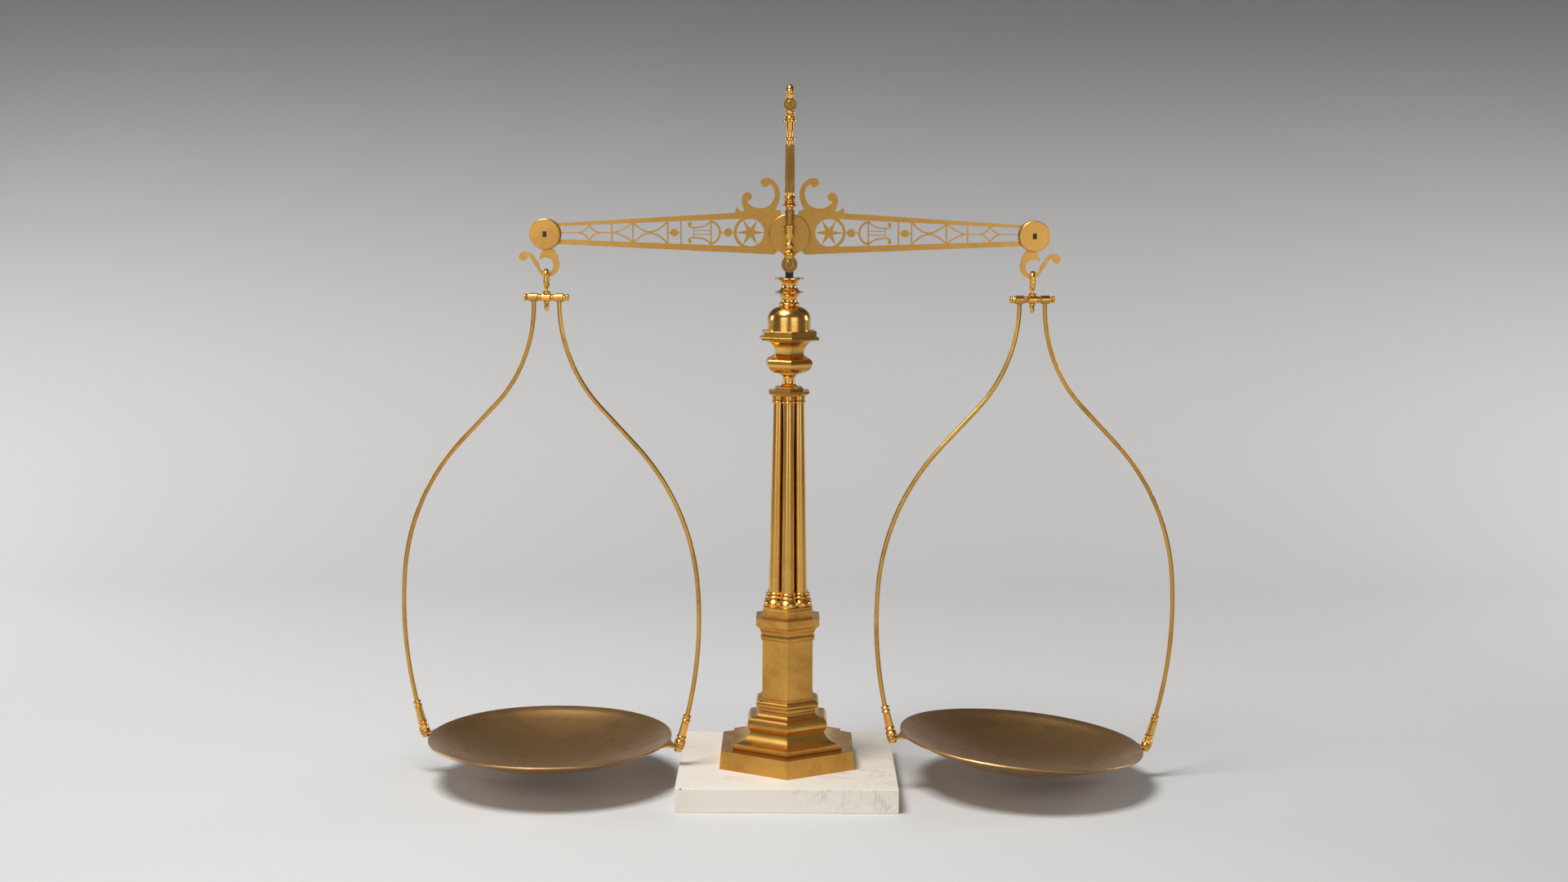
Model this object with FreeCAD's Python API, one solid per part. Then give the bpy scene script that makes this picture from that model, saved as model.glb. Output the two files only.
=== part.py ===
import FreeCAD, Part
import math
import os

# Equal-arm display balance in brass, on a marble slab. Millimetres.
# Origin: centre of the slab's underside. +Z up, +X along the beam, -Y is the front.
# Every piece of the right-hand side is drawn once and mirrored in X for the left.

V = FreeCAD.Vector

# ---- driving dimensions -------------------------------------------------------------------

# marble slab
slab_width = 228.6
slab_height = 25.4
slab_bevel = 0.9

# tie rod, its nut and the recess that hides them
rod_radius = 5.0
rod_clearance = 0.25
recess_radius = 17.0
recess_depth = 13.0
washer_radius = 14.0
washer_height = 2.0
nut_flats = 17.0
nut_height = 8.0

# hexagonal pedestal, bottom to top: heights, and half-widths across the flats
plinth_height = 19.1
plinth_flat_bottom = 71.2
plinth_flat_top = 69.5
foot_height = 50.9
foot_lip_flat = 57.3
foot_torus_flat = 42.0
foot_small_torus_flat = 32.9
die_height = 63.1
die_flat = 26.5
cap_height = 23.5
cap_ring_flat = 27.9
cap_plate_flat = 33.4
block_height = 11.7
block_flat = 26.0

# clustered column of six tapered shafts
shaft_count = 6
bases_height = 15.8
shaft_height = 199.0
capital_height = 13.5
cluster_radius_bottom = 15.07
cluster_radius_top = 12.5
shaft_radius_bottom = 6.95
shaft_radius_top = 5.2
capital_plate_flat = 21.0

# faceted vase, canopy plate, dome and spool
vase_height = 53.2
vase_flat = 23.5
vase_foot_flat = 14.1
canopy_height = 9.7
canopy_flat = 29.9
canopy_step_flat = 27.3
dome_height = 24.7
dome_radius = 22.6
spool_height = 30.2
spool_flange_radius = 15.3
upper_turn = 5.0

# steel neck stem and the two-cheek hanger
stem_width = 8.4
stem_rise = 21.7
roundel_rise = 14.2
cheek_gap = 13.0
cheek_axis_inset = 2.5
cheek_front_depth = 5.0
lower_roundel_radius = 8.3
upper_roundel_radius = 6.5
upper_roundel_rise = 164.0
facet_count = 8
bolt_radius = 2.4
bolt_head_radius = 4.4
bolt_head_height = 1.6
bolt_slot_width = 0.9
bolt_slot_depth = 0.8
spacer_radius = 4.2
finial_rise = 171.4

# beam
arm_length = 254.0
beam_thickness = 3.0
beam_rise = 30.0
boss_radius = 21.1
boss_height = 4.0
boss_lift = 1.0
edge_break = 0.6
end_disc_radius = 15.9
end_disc_thickness = 3.0
end_disc_gap = 11.0
arm_end = 243.6
spacer_start = 239.4
star_reach = 40.9
star_radius = 14.2
star_ring = 3.1
star_points = 6
line_width = 1.5
string_width = 0.9
scroll_ball_radius = 4.6
pointer_tip_rise = 70.0
pointer_tang_rise = 10.2
pointer_tang_width = 3.2
pointer_tip_width = 1.0

# knife edges and their seats
fulcrum_rise = 34.0
seat_gap = 0.3
centre_knife_width = 4.0
centre_knife_height = 5.5
centre_knife_reach = 9.4
bearing_width = 5.6
bearing_depth = 3.2
bearing_drop = 4.0
end_knife_width = 4.2
end_knife_height = 6.0
end_knife_edge_drop = 2.0
end_knife_edge_inset = 0.5

# flat S hook
hook_thickness = 3.0
hook_eye_radius = 8.4
hook_hole_radius = 5.3
hook_drop = 32.1
crook_shift = 0.6
crook_inner_radius = 7.6
crook_strap = 5.9
crook_toe_strap = 4.4
tail_ball_radius = 4.3

# shackle link with its swivel stem
link_gap = 0.3
link_width = 5.0
link_thickness = 3.4
link_half_span = 6.3
link_straight = 4.7
collar_radius = 4.3
swivel_radius = 2.0
swivel_clearance = 0.06
swivel_end_gap = 0.3
swivel_thread = 2.7

# crossbar and the two bow legs
bar_drop = 66.0
bar_block_radius = 4.25
bar_block_length = 10.0
bar_flat_rise = 4.0
bar_neck_radius = 2.7
bar_clearance = 0.05
barrel_spacing = 27.7
barrel_radius = 4.35
barrel_length = 9.9
knob_radius = 3.95
knob_length = 4.6
wire_radius = 2.4
bow_shoulder_radius = 154.9
bow_shoulder_angle = 44.3
bow_run = 54.4
bow_waist_radius = 235.0
bow_waist_angle = 5.0
bow_belly_radius = 430.0
bow_toe_drop = 445.5
bow_start_run = 6.0
bow_yaw = 11.0

# ferrule at the foot of each leg
ferrule_length = 36.0
ferrule_socket = 8.0
ferrule_fit = 0.12
ferrule_pin_radius = 2.0
foot_nut_radius = 4.0
foot_nut_height = 3.2
lug_thickness = 1.8

# pans
pan_radius = 129.5
pan_depth = 32.0
pan_sheet = 1.2
lug_eye_radius = 5.0
lug_root_width = 30.0
lug_reach = 19.0
rim_rise = 4.8
lean_shift = 11.2

# ---- heights that follow from the stack ----------------------------------------------------

plinth_z = slab_height
foot_z = plinth_z + plinth_height
die_z = foot_z + foot_height
cap_z = die_z + die_height
block_z = cap_z + cap_height
bases_z = block_z + block_height
shafts_z = bases_z + bases_height
capital_z = shafts_z + shaft_height
vase_z = capital_z + capital_height
canopy_z = vase_z + vase_height
dome_z = canopy_z + canopy_height
spool_z = dome_z + dome_height
stem_z = spool_z + spool_height
roundel_z = stem_z + roundel_rise
beam_z = roundel_z + beam_rise
fulcrum_z = roundel_z + fulcrum_rise
end_edge_z = beam_z + end_knife_height / 2 - end_knife_edge_inset
crook_z = beam_z - hook_drop
bar_z = beam_z - bar_drop
cheek_back = cheek_gap / 2
cheek_axis_y = cheek_back + cheek_axis_inset
cheek_face_y = cheek_axis_y + cheek_front_depth
bore_radius = rod_radius + rod_clearance
disc_inner_y = end_disc_gap / 2
disc_outer_y = disc_inner_y + end_disc_thickness
crook_x = arm_length - crook_shift

pieces = {}

# ---- drawing helpers -----------------------------------------------------------------------


def point(x, z):
    """Point in the XZ plane."""
    return V(x, 0, z)


def outline(start, moves):
    """Face in the XZ plane. A move of two numbers is a line to that point; of four, an arc
    through the first pair to the second."""
    edges = []
    here = point(*start)
    for move in moves:
        end = point(*move[-2:])
        if len(move) == 4:
            edges.append(Part.Arc(here, point(*move[:2]), end).toShape())
        else:
            edges.append(Part.LineSegment(here, end).toShape())
        here = end
    edges.append(Part.LineSegment(here, point(*start)).toShape())
    return Part.Face(Part.Wire(edges))


def moved(shape, x=0.0, y=0.0, z=0.0):
    """Copy of a shape, shifted."""
    copy = shape.copy()
    copy.translate(V(x, y, z))
    return copy


def spun(shape, angle, axis=V(0, 0, 1), centre=V(0, 0, 0)):
    """Copy of a shape, turned about an axis."""
    copy = shape.copy()
    copy.rotate(centre, axis, angle)
    return copy


def mirrored(shape):
    """Copy of a shape for the other side of the X = 0 plane."""
    return shape.mirror(V(0, 0, 0), V(1, 0, 0))


def flipped(shape):
    """Copy of a shape for the other side of the Y = 0 plane."""
    return shape.mirror(V(0, 0, 0), V(0, 1, 0))


def fused(shapes):
    """One solid from several."""
    if len(shapes) == 1:
        return shapes[0]
    joined = shapes[0].multiFuse(shapes[1:]).removeSplitter()
    return joined.Solids[0] if len(joined.Solids) == 1 else joined


def group(shapes):
    """Separate solids kept in one node."""
    return Part.makeCompound(shapes)


def turned(start, moves, z=0.0):
    """Solid of revolution about Z from a half profile of (radius, height)."""
    solid = outline(start, moves).revolve(V(0, 0, 0), V(0, 0, 1), 360)
    return moved(solid, z=z)


def rod(radius, z_low, z_high, x=0.0, y=0.0):
    """Upright cylinder."""
    return Part.makeCylinder(radius, z_high - z_low, V(x, y, z_low))


def pin(radius, y_low, y_high, x=0.0, z=0.0):
    """Cylinder along Y."""
    return Part.makeCylinder(radius, y_high - y_low, V(x, y_low, z), V(0, 1, 0))


def block(x_low, x_high, y_low, y_high, z_low, z_high):
    """Box between two corners."""
    return Part.makeBox(x_high - x_low, y_high - y_low, z_high - z_low, V(x_low, y_low, z_low))


def plate(face, thickness):
    """Prism of an XZ face, centred on Y = 0."""
    return moved(face, y=-thickness / 2).extrude(V(0, thickness, 0))


def hexed(start, moves, z=0.0, turn=0.0, bore=bore_radius):
    """Hexagonal moulding with mitred corners, one corner to the front. The profile gives the
    half-width across the flats at each height."""
    face = outline(start, moves)
    reach = 2 * face.BoundBox.XMax
    half = reach * math.tan(math.radians(180.0 / 6))
    low = face.BoundBox.ZMin - 1
    high = face.BoundBox.ZMax + 1
    bar = moved(face, y=-half).extrude(V(0, 2 * half, 0))
    corners = [V(0, 0, low), V(reach, -half, low), V(reach, half, low), V(0, 0, low)]
    wedge = Part.Face(Part.makePolygon(corners)).extrude(V(0, 0, high - low))
    sector = bar.common(wedge)
    solid = fused([spun(sector, 60 * step) for step in range(6)])
    if bore > 0:
        solid = solid.cut(rod(bore, low, high))
    return moved(spun(solid, turn), z=z)


def frustum(count, flat_low, flat_high, z_low, z_high):
    """Tapered prism with flats facing front and side."""
    rings = []
    for flat, z in ((flat_low, z_low), (flat_high, z_high)):
        radius = flat / math.cos(math.pi / count)
        angles = [math.pi / count + 2 * math.pi * step / count for step in range(count)]
        ring = [V(radius * math.cos(a), radius * math.sin(a), z) for a in angles]
        rings.append(Part.makePolygon(ring + ring[:1]))
    return Part.makeLoft(rings, True, True)


def spline(points):
    """Smooth curve through points."""
    curve = Part.BSplineCurve()
    curve.interpolate(points)
    return curve


def ribbon(points, widths):
    """Face of a strap in the XZ plane. Its centre line runs through the points and it is as
    wide there as the widths say."""
    centres = [point(*p) for p in points]
    centre_line = spline(centres)
    left = []
    right = []
    for centre, width in zip(centres, widths):
        along = centre_line.tangent(centre_line.parameter(centre))[0]
        across = V(-along.z, 0, along.x) * (width / 2)
        left.append(centre + across)
        right.append(centre - across)
    edges = [
        spline(left).toShape(),
        Part.LineSegment(left[-1], right[-1]).toShape(),
        spline(right[::-1]).toShape(),
        Part.LineSegment(right[0], left[0]).toShape(),
    ]
    return Part.Face(Part.Wire(edges))


def trace(start, heading, moves):
    """Wire in the XZ plane of straight runs and tangent arcs, with its last point and heading.
    A heading of 0 points down and grows outwards; a move is ("run", length) or
    ("turn", radius, new heading)."""
    edges = []
    here = point(*start)
    for move in moves:
        if move[0] == "run":
            angle = math.radians(heading)
            end = here + V(math.sin(angle), 0, -math.cos(angle)) * move[1]
            edges.append(Part.LineSegment(here, end).toShape())
        else:
            side = 1 if move[2] > heading else -1
            first = math.radians(heading)
            centre = here + V(math.cos(first), 0, math.sin(first)) * (side * move[1])
            stops = []
            for angle in (math.radians((heading + move[2]) / 2), math.radians(move[2])):
                stops.append(centre - V(math.cos(angle), 0, math.sin(angle)) * (side * move[1]))
            edges.append(Part.Arc(here, stops[0], stops[1]).toShape())
            heading = move[2]
            end = stops[1]
        here = end
    return Part.Wire(edges), here, heading


# ---- stand: slab and pedestal --------------------------------------------------------------


def marble_base():
    """Square slab with softened upper edges, bored for the rod, recessed below for its nut."""
    half = slab_width / 2
    slab = block(-half, half, -half, half, 0, slab_height)
    upper = [edge for edge in slab.Edges if edge.BoundBox.ZMin > slab_height - edge_break]
    slab = slab.makeChamfer(slab_bevel, upper)
    slab = slab.cut(rod(bore_radius, 0, slab_height))
    return slab.cut(rod(recess_radius, 0, recess_depth))


def foot_plinth():
    """Broad hexagonal plate with slightly battered sides."""
    sides = [(plinth_flat_bottom, 0), (plinth_flat_top, plinth_height), (0, plinth_height)]
    return hexed((0, 0), sides, z=plinth_z)


def foot_moulding():
    """Lip, scotia, large torus, cove and small torus, as one hexagonal casting."""
    lip_low = 1.3
    lip_high = 5.9
    torus_low = 17.5
    torus_high = 31.3
    neck_flat = foot_torus_flat - 3.2
    collar_flat = foot_small_torus_flat - 3.2
    top_flat = die_flat + 1.5
    profile = [
        (foot_lip_flat - 2.2, 0),
        (foot_lip_flat - 2.2, lip_low),
        (foot_lip_flat, lip_low),
        (foot_lip_flat, lip_high),
        (foot_lip_flat - 13.0, lip_high + 3.6, neck_flat, torus_low - 0.6),
        (neck_flat + 0.4, torus_low),
        (foot_torus_flat, torus_low + 6.7, neck_flat + 0.2, torus_high),
        (neck_flat - 2.2, torus_high + 0.5),
        (neck_flat - 6.6, torus_high + 1.9, collar_flat, torus_high + 5.0),
        (collar_flat, foot_height - 13.4),
        (collar_flat - 1.2, foot_height - 12.8),
        (collar_flat - 1.2, foot_height - 9.9),
        (collar_flat - 0.6, foot_height - 9.4),
        (foot_small_torus_flat, foot_height - 5.6, collar_flat - 0.8, foot_height - 1.9),
        (top_flat, foot_height - 1.5),
        (top_flat, foot_height),
        (0, foot_height),
    ]
    return hexed((0, 0), profile, z=foot_z)


def pedestal_die():
    """Plain hexagonal prism."""
    return hexed((0, 0), [(die_flat, 0), (die_flat, die_height), (0, die_height)], z=die_z)


def pedestal_cap():
    """Astragal, groove, ovolo and square-edged top plate."""
    plate_low = cap_height - 8.0
    profile = [
        (die_flat + 0.3, 0),
        (cap_ring_flat, 0.9),
        (cap_ring_flat + 0.5, 3.2, cap_ring_flat, 5.4),
        (die_flat + 0.4, 6.2),
        (die_flat + 0.4, 8.4),
        (cap_ring_flat + 0.3, 8.8),
        (cap_ring_flat + 1.6, plate_low - 3.4, cap_plate_flat - 0.8, plate_low),
        (cap_plate_flat, plate_low),
        (cap_plate_flat, cap_height),
        (0, cap_height),
    ]
    return hexed((0, 0), profile, z=cap_z)


def column_block():
    """Hexagonal block with a small top ledge, under the column bases."""
    ledge = block_height - 2.6
    profile = [(block_flat, 0), (block_flat, ledge), (block_flat - 0.9, ledge + 0.7)]
    profile += [(block_flat - 0.9, block_height), (0, block_height)]
    return hexed((0, 0), profile, z=block_z)


def around_column(profile, radius, z, height):
    """Six equal turnings in a ring, each trimmed to its own sixth, as one casting."""
    turning = moved(turned((0, 0), profile), y=-radius)
    reach = 3 * radius
    half = reach * math.tan(math.pi / shaft_count)
    corners = [V(0, 0, 0), V(-half, -reach, 0), V(half, -reach, 0), V(0, 0, 0)]
    wedge = Part.Face(Part.makePolygon(corners)).extrude(V(0, 0, height))
    sector = turning.common(wedge)
    core = rod(radius, 0, height)
    sector = sector.fuse(core.common(wedge)).removeSplitter()
    ring = fused([spun(sector, 360 / shaft_count * step) for step in range(shaft_count)])
    return moved(ring, z=z)


def column_bases():
    """Torus, scotia and two rings under each shaft, cast in one."""
    r = shaft_radius_bottom
    profile = [
        (r + 4.0, 0),
        (r + 5.2, 3.3, r + 3.2, 6.4),
        (r + 1.8, 8.2),
        (r + 3.0, 9.4),
        (r + 3.5, 10.6, r + 2.4, 11.8),
        (r + 0.9, 12.6),
        (r + 1.5, 14.0, r + 0.5, 15.2),
        (r + 0.5, bases_height),
        (0, bases_height),
    ]
    ring = around_column(profile, cluster_radius_bottom, bases_z, bases_height)
    return ring.cut(rod(bore_radius, bases_z, shafts_z))


def column_shafts():
    """Six plain round shafts that taper and lean in towards the top."""
    lean = cluster_radius_bottom - cluster_radius_top
    length = math.hypot(shaft_height, lean)
    axis = V(0, lean / length, shaft_height / length)
    taper = (shaft_radius_bottom - shaft_radius_top) / length
    run_out = 2.0
    cone = Part.makeCone(
        shaft_radius_bottom + taper * run_out,
        shaft_radius_top - taper * run_out,
        length + 2 * run_out,
        V(0, -cluster_radius_bottom, shafts_z) - axis * run_out,
        axis,
    )
    reach = 2 * cluster_radius_bottom
    shaft = cone.common(block(-reach, reach, -reach, 0, shafts_z, capital_z))
    return group([spun(shaft, 360 / shaft_count * step) for step in range(shaft_count)])


def column_capital():
    """Ringed neck over each shaft under one hexagonal abacus."""
    r = shaft_radius_top
    neck_high = capital_height - 5.0
    profile = [
        (r + 0.3, 0),
        (r + 0.3, 0.5),
        (r + 1.5, 1.9, r + 0.5, 3.4),
        (r + 0.1, 4.2),
        (r + 0.1, 5.0),
        (r + 1.1, 5.6),
        (r + 1.1, neck_high),
        (0, neck_high),
    ]
    necks = around_column(profile, cluster_radius_top, capital_z, neck_high)
    necks = necks.cut(rod(bore_radius, capital_z, capital_z + neck_high))
    plate_low = capital_height - 2.6
    abacus = [
        (capital_plate_flat - 3.4, neck_high),
        (capital_plate_flat - 0.4, plate_low),
        (capital_plate_flat, plate_low),
        (capital_plate_flat, capital_height),
        (0, capital_height),
    ]
    return fused([necks, hexed((0, neck_high), abacus, z=capital_z, turn=upper_turn / 2)])


def vase():
    """Hexagonal vase: foot plate, round stem with a collar, full belly and flared neck."""
    foot_top = 4.0
    stem_top = 18.6
    stem_profile = [
        (vase_foot_flat - 3.4, foot_top),
        (8.0, foot_top + 1.4, 6.5, foot_top + 6.8),
        (7.6, foot_top + 11.4, 11.4, foot_top + 13.2),
        (11.6, stem_top),
        (0, stem_top),
    ]
    foot_profile = [
        (vase_foot_flat, 0),
        (vase_foot_flat, foot_top - 0.9),
        (vase_foot_flat - 0.9, foot_top),
        (0, foot_top),
    ]
    waist_z = 39.4
    belly_profile = [
        (vase_flat - 11.6, stem_top),
        (vase_flat - 3.0, stem_top + 4.0, vase_flat, stem_top + 9.8),
        (vase_flat - 0.6, stem_top + 12.8, vase_flat - 3.2, stem_top + 15.4),
        (vase_flat - 6.2, stem_top + 17.0),
        (vase_flat - 8.3, stem_top + 18.4),
        (vase_flat - 9.0, waist_z - 0.6),
        (vase_flat - 7.4, waist_z + 6.0, vase_flat + 0.6, vase_height),
        (0, vase_height),
    ]
    foot = hexed((0, 0), foot_profile)
    stem = turned((bore_radius, foot_top), stem_profile[:-1] + [(bore_radius, stem_top)])
    belly = hexed((0, stem_top), belly_profile)
    return moved(spun(fused([foot, stem, belly]), upper_turn), z=vase_z)


def canopy_plate():
    """Hexagonal plate with a smaller step on it."""
    plate_top = 3.4
    profile = [
        (canopy_flat - 0.8, 0),
        (canopy_flat, 0.8),
        (canopy_flat, plate_top - 0.6),
        (canopy_flat - 0.6, plate_top),
        (canopy_step_flat, plate_top),
        (canopy_step_flat, canopy_height - 0.6),
        (canopy_step_flat - 0.6, canopy_height),
        (0, canopy_height),
    ]
    return hexed((0, 0), profile, z=canopy_z, turn=upper_turn)


def dome():
    """Bell-shaped turning under the spool."""
    crown = spool_flange_radius - 5.3
    profile = [
        (dome_radius, 0),
        (dome_radius, dome_height - 14.6),
        (dome_radius - 3.3, dome_height - 4.8, crown, dome_height),
        (bore_radius, dome_height),
    ]
    return turned((bore_radius, 0), profile, z=dome_z)


def spool():
    """Double-flanged spool with a rounded foot ring."""
    waist = spool_flange_radius - 7.4
    profile = [
        (waist + 1.4, 0),
        (waist + 2.6, 2.3, waist + 1.4, 4.6),
        (waist + 0.5, 5.4),
        (waist + 0.2, 7.0),
        (waist + 1.7, 11.6, waist + 5.2, 14.2),
        (spool_flange_radius - 0.3, 14.6),
        (spool_flange_radius - 0.3, 15.7),
        (waist + 4.4, 16.2),
        (waist, 21.4, waist + 4.0, spool_height - 2.4),
        (spool_flange_radius, spool_height - 1.5),
        (spool_flange_radius, spool_height),
        (bore_radius, spool_height),
    ]
    return turned((bore_radius, 0), profile, z=spool_z)


def neck_stem():
    """Steel tie rod through the whole column, with a square head between the cheeks."""
    half = stem_width / 2
    head = block(-half, half, -cheek_back, cheek_back, stem_z, stem_z + stem_rise)
    bolt_hole = pin(bolt_radius, -cheek_back, cheek_back, z=roundel_z)
    shank = rod(rod_radius, recess_depth - washer_height - nut_height - 1.0, stem_z)
    return fused([head, shank]).cut(bolt_hole)


def base_washer():
    """Plain washer under the slab."""
    low = recess_depth - washer_height
    disc = rod(washer_radius, low, recess_depth)
    return disc.cut(rod(bore_radius, low, recess_depth))


def base_nut():
    """Hexagon nut on the tie rod."""
    high = recess_depth - washer_height
    low = high - nut_height
    profile = [(nut_flats / 2, 0), (nut_flats / 2, nut_height), (0, nut_height)]
    return hexed((0, 0), profile, z=low, bore=rod_radius)


# ---- stand: hanger --------------------------------------------------------------------------


def front_cheek():
    """Baluster-shaped cheek with a flat back, a roundel at each end and a pocket for the
    knife bearing."""
    lower = [
        (5.2, 3.0),
        (6.2, 9.0),
        (7.5, 9.9),
        (7.5, 11.5),
        (5.2, 12.6, 3.1, 15.0),
        (5.1, 19.0, 3.0, 22.4),
        (2.7, 24.6),
        (3.1, 26.0),
        (4.7, 28.6, 5.6, 33.0),
        (6.2, 38.2),
        (7.0, 38.6),
        (7.0, 39.7),
        (3.4, 40.4),
        (4.5, 55.4),
        (4.1, 56.6, 4.2, 59.2),
        (7.7, 60.0),
        (7.7, 61.2),
        (5.0, 62.2),
        (6.0, 63.4),
        (6.0, 64.4),
        (4.6, 65.2),
        (4.6, 66.4),
        (6.6, 68.6),
        (4.4, 70.8),
        (4.2, 73.4),
        (4.6, 74.0),
        (4.2, 122.0),
        (3.0, 123.4),
        (3.0, 126.6),
        (5.8, 127.7),
        (5.8, 129.3),
        (3.1, 130.4),
        (3.0, 135.8),
        (4.1, 137.6),
        (4.9, 146.0),
        (7.2, 146.8),
        (7.2, 147.7),
        (5.6, 148.1),
        (5.6, 148.8),
        (7.2, 149.2),
        (7.2, 150.1),
        (4.2, 151.0, 3.6, 153.4),
        (5.3, 154.8),
        (5.3, 156.4),
        (4.0, 157.4),
        (4.0, upper_roundel_rise),
        (3.2, upper_roundel_rise),
        (3.2, finial_rise - 1.8),
        (5.1, finial_rise - 1.2),
        (5.1, finial_rise),
        (0, finial_rise),
    ]
    long_shaft = frustum(facet_count, 5.1, 4.65, 74.0, 122.0)
    short_shaft = frustum(facet_count, 3.7, 4.95, 40.4, 55.4)
    body = fused([turned((0, 3.0), lower), long_shaft, short_shaft])
    body = moved(body, y=-cheek_axis_y)
    roundels = [
        pin(lower_roundel_radius, -cheek_face_y, -cheek_back),
        pin(upper_roundel_radius, -cheek_face_y + 1.0, -cheek_back, z=upper_roundel_rise),
    ]
    rims = [
        pin(lower_roundel_radius - 2.0, -cheek_face_y - 1, -cheek_face_y + 0.8),
        pin(
            upper_roundel_radius - 1.2, -cheek_face_y, -cheek_face_y + 1.8, z=upper_roundel_rise
        ),
    ]
    cheek = fused([body] + roundels)
    behind = block(-20, 20, -cheek_back, cheek_back, -20, 200)
    pocket_low = fulcrum_rise - bearing_drop
    pocket = block(
        -bearing_width / 2,
        bearing_width / 2,
        -cheek_back - bearing_depth,
        -cheek_back,
        pocket_low,
        fulcrum_rise + centre_knife_height + 1.0,
    )
    holes = [
        pin(bolt_radius, -cheek_face_y, -cheek_back),
        pin(bolt_radius, -cheek_face_y, -cheek_back, z=upper_roundel_rise),
    ]
    for tool in rims + [behind, pocket] + holes:
        cheek = cheek.cut(tool)
    return moved(cheek, z=roundel_z)


def front_finial():
    """Acorn finial on top of a cheek."""
    profile = [
        (2.3, finial_rise),
        (2.3, finial_rise + 2.6),
        (4.2, finial_rise + 3.4),
        (4.8, finial_rise + 5.0, 4.3, finial_rise + 7.4),
        (3.1, finial_rise + 10.6, 0.7, finial_rise + 12.9),
        (0, finial_rise + 13.1),
    ]
    return moved(turned((0, finial_rise), profile), y=-cheek_axis_y, z=roundel_z)


def front_bearing():
    """Steel seat with a shallow V for the centre knife."""
    half = bearing_width / 2
    seat_z = fulcrum_z - seat_gap
    seat = block(
        -half,
        half,
        -cheek_back - bearing_depth,
        -cheek_back,
        fulcrum_z - bearing_drop,
        seat_z + 1.2,
    )
    notch = outline((0, seat_z), [(half + 1, seat_z + 1.8), (-half - 1, seat_z + 1.8)])
    notch_solid = moved(notch, y=-cheek_back - bearing_depth - 1).extrude(V(0, bearing_depth + 2, 0))
    return seat.cut(notch_solid)


def cross_bolt(rise, head_y, radius):
    """Slotted screw through both cheeks, head to the front, nut thread at the rear."""
    shank = pin(bolt_radius, -head_y, cheek_face_y)
    head = pin(radius, -head_y - bolt_head_height, -head_y)
    head = head.makeFillet(0.6, [e for e in head.Edges if e.BoundBox.YMax < -head_y - 0.5])
    slot = block(
        -bolt_slot_width / 2,
        bolt_slot_width / 2,
        -head_y - bolt_head_height,
        -head_y - bolt_head_height + bolt_slot_depth,
        -radius,
        radius,
    )
    bolt = fused([shank, head]).cut(spun(slot, 35, V(0, 1, 0)))
    return moved(bolt, z=roundel_z + rise)


def cross_nut(rise, seat_y):
    """Round nut at the rear end of a cross bolt."""
    nut = pin(bolt_head_radius, seat_y, cheek_face_y)
    nut = nut.cut(pin(bolt_radius, seat_y, cheek_face_y))
    return moved(nut, z=roundel_z + rise)


def upper_spacer():
    """Tube that keeps the cheeks apart at the top."""
    tube = pin(spacer_radius, -cheek_back, cheek_back).cut(
        pin(bolt_radius, -cheek_back, cheek_back)
    )
    return moved(tube, z=roundel_z + upper_roundel_rise)


# ---- beam -----------------------------------------------------------------------------------


def window_top(x):
    """Upper edge of the pierced window at x, above the beam's centre line."""
    return 16.6 - 0.0448 * (x - 54.0)


def window_bottom(x):
    """Lower edge of the pierced window at x."""
    return -11.9 + 0.0340 * (x - 48.0)


def window_middle(x):
    """Middle of the pierced window at x."""
    return (window_top(x) + window_bottom(x)) / 2


def arm_profile():
    """Right half of the plate, before it is pierced."""
    tip_top = window_top(arm_end) + 3.0
    tip_bottom = window_bottom(arm_end) - 5.0
    profile = [
        (8.0, -9.0),
        (12.6, -16.6),
        (16.0, -20.1),
        (arm_end, tip_bottom),
        (arm_end, tip_top),
        (57.0, 22.8),
        (56.2, 26.4),
        (54.8, 29.6),
        (51.6, 25.2, 46.4, 25.0),
        (42.6, 32.6),
        (30.2, 27.6, 18.4, 33.2),
        (15.6, 26.4),
        (9.3, 25.3),
        (8.2, 17.0),
        (0, 14.0),
    ]
    return outline((0, -9.0), profile)


def line(x_low, x_high, width):
    """Level line of the fretwork along the middle of the window."""
    low = window_middle(x_low)
    high = window_middle(x_high)
    half = width / 2
    return outline((x_low, low - half), [(x_high, high - half), (x_high, high + half), (x_low, low + half)])


def upright(x, width):
    """Upright of the fretwork, right across the window."""
    half = width / 2
    low = window_bottom(x) - 1
    high = window_top(x) + 1
    return outline((x - half, low), [(x + half, low), (x + half, high), (x - half, high)])


def reflected(points):
    """The same run of points, below the middle of the window."""
    return [(x, 2 * window_middle(x) - z) for x, z in points]


def strokes():
    """Curved straps of the fretwork: points of the centre line, with a width."""
    mid = window_middle
    upper = [
        ([(82.2, 14.6), (85.6, 10.8), (91.0, 8.4), (97.5, 7.4), (102.6, 7.7), (105.3, 9.6)], 1.5),
        ([(127.0, 14.1), (135.0, mid(135) + 4.1), (144.8, mid(144.8) + 0.7),
          (154.4, mid(154.4) + 3.6), (162.6, 12.4)], 1.6),
        ([(163.0, 12.3), (171.5, mid(171.5) + 4.4), (181.8, mid(181.8) + 0.2)], 1.4),
        ([(196.6, mid(196.6)), (204.4, mid(204.4) + 3.0), (208.4, 10.3)], 1.4),
        ([(220.2, mid(220.2)), (212.4, mid(212.4) + 3.0), (208.4, 10.3)], 1.4),
    ]
    faces = []
    for points, width in upper:
        for run in (points, reflected(points)):
            faces.append(ribbon(run, [width] * len(run)))
    return faces


def disc_face(x, z, radius):
    """Round face in the XZ plane."""
    circle = Part.Circle(point(x, z), V(0, 1, 0), radius)
    return Part.Face(Part.Wire([circle.toShape()]))


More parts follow.
